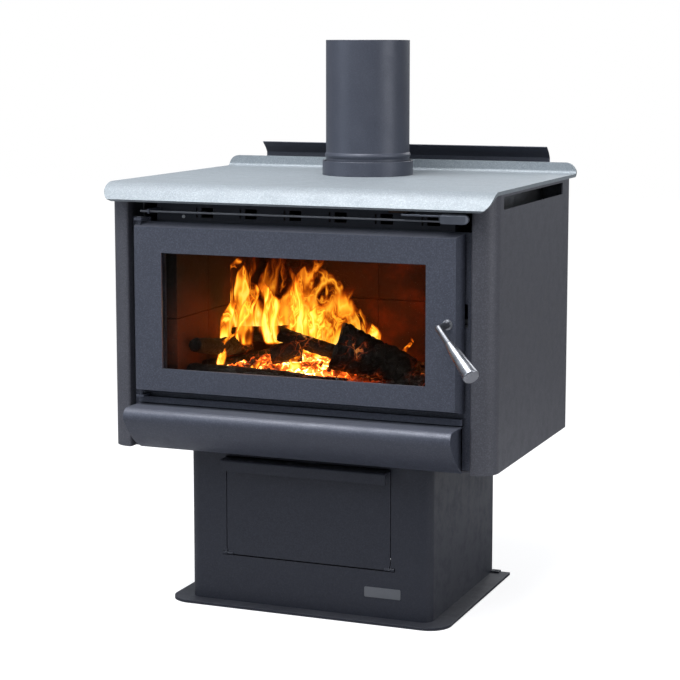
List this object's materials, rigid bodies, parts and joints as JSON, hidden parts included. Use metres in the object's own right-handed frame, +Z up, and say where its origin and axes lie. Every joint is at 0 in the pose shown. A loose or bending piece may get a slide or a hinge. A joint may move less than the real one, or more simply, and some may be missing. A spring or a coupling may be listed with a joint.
{
  "type": "wood burning stove",
  "caption": "Freestanding pedestal wood burning stove with a glazed firing door, sliding air control, ash apron, drop-down storage door and a flue stub.",
  "frame": {"origin": "on the floor under the middle of the casing", "axes": "+X to the right as seen from in front, +Y from the front to the back, +Z up"},
  "size_m": [0.7121, 0.6796, 0.986],
  "materials": {
    "charcoal_coat": "satin metallic-fleck heat-resistant coating",
    "graphite_coat": "satin dark heat-resistant coating",
    "top_coat": "satin metallic-fleck heat-resistant coating",
    "bare_steel": "plain steel",
    "polished_metal": "polished",
    "fire_brick": "rough fired clay",
    "rope": "woven glass rope",
    "baffle": "rough insulating board",
    "fire_glass": "clear heat-proof glass, lightly smoked"
  },
  "bodies": {
    "stove": {"base_plate": "graphite_coat", "pedestal_wrap": "graphite_coat", "pedestal_back": "graphite_coat", "pedestal_rails": "graphite_coat", "pedestal_bolts": "bare_steel", "pedestal_foot_tabs": "graphite_coat", "pedestal_pivots": "bare_steel", "hatch_magnet": "bare_steel", "badge_plate": "bare_steel", "casing_floor": "charcoal_coat", "side_panel_left": "charcoal_coat", "side_panel_right": "charcoal_coat", "rear_panel": "charcoal_coat", "top_rails": "charcoal_coat", "top_plate": "top_coat", "rear_heat_shield": "graphite_coat", "shield_standoffs": "bare_steel", "casing_screws": "bare_steel", "inner_shields": "bare_steel", "firebox_stand": "charcoal_coat", "firebox_shell": "charcoal_coat", "firebox_front": "charcoal_coat", "floor_bricks": "fire_brick", "side_bricks": "fire_brick", "rear_bricks": "fire_brick", "baffle_board": "baffle", "baffle_rails": "bare_steel", "secondary_air_tubes": "bare_steel", "flue_spigot": "charcoal_coat", "flue_collar": "graphite_coat", "flue_seal": "rope", "flue_pipe": "graphite_coat", "air_box": "charcoal_coat", "air_slide_guides": "bare_steel", "air_rail": "charcoal_coat", "rail_brackets": "charcoal_coat", "door_sill": "charcoal_coat", "ash_apron": "charcoal_coat", "apron_ends": "charcoal_coat", "apron_brackets": "charcoal_coat", "hinge_brackets": "charcoal_coat", "hinge_pins": "bare_steel", "latch_keeper": "bare_steel"},
    "door": {"door_frame": "charcoal_coat", "glass_gasket": "rope", "door_glass": "fire_glass", "glass_clips": "bare_steel", "clip_screws": "bare_steel", "rope_seal": "rope", "spindle_bush": "bare_steel"},
    "handle": {"handle_rod": "polished_metal", "handle_grip": "polished_metal", "handle_washer": "polished_metal", "latch_cam": "bare_steel", "cam_nut": "bare_steel"},
    "air_control": {"air_rod": "bare_steel", "air_knob": "bare_steel", "air_slide": "bare_steel"},
    "hatch": {"hatch_panel": "graphite_coat", "hatch_pins": "bare_steel"}
  },
  "joints": [
    {"name": "door_hinge", "type": "hinge", "parent": "stove", "child": "door", "pos_m": [-0.285, -0.232, 0.5275], "axis": [0, 0, -1], "range_deg": [0, 110]},
    {"name": "handle_turn", "type": "hinge", "parent": "door", "child": "handle", "pos_m": [0.2765, -0.243, 0.529], "axis": [0, -1, 0], "range_deg": [-15, 75]},
    {"name": "air_control_slide", "type": "slide", "parent": "stove", "child": "air_control", "axis": [1, 0, 0], "range_m": [-0.04, 0]},
    {"name": "hatch_hinge", "type": "hinge", "parent": "stove", "child": "hatch", "pos_m": [0, -0.1687, 0.0909], "axis": [1, 0, 0], "range_deg": [0, 90]}
  ]
}
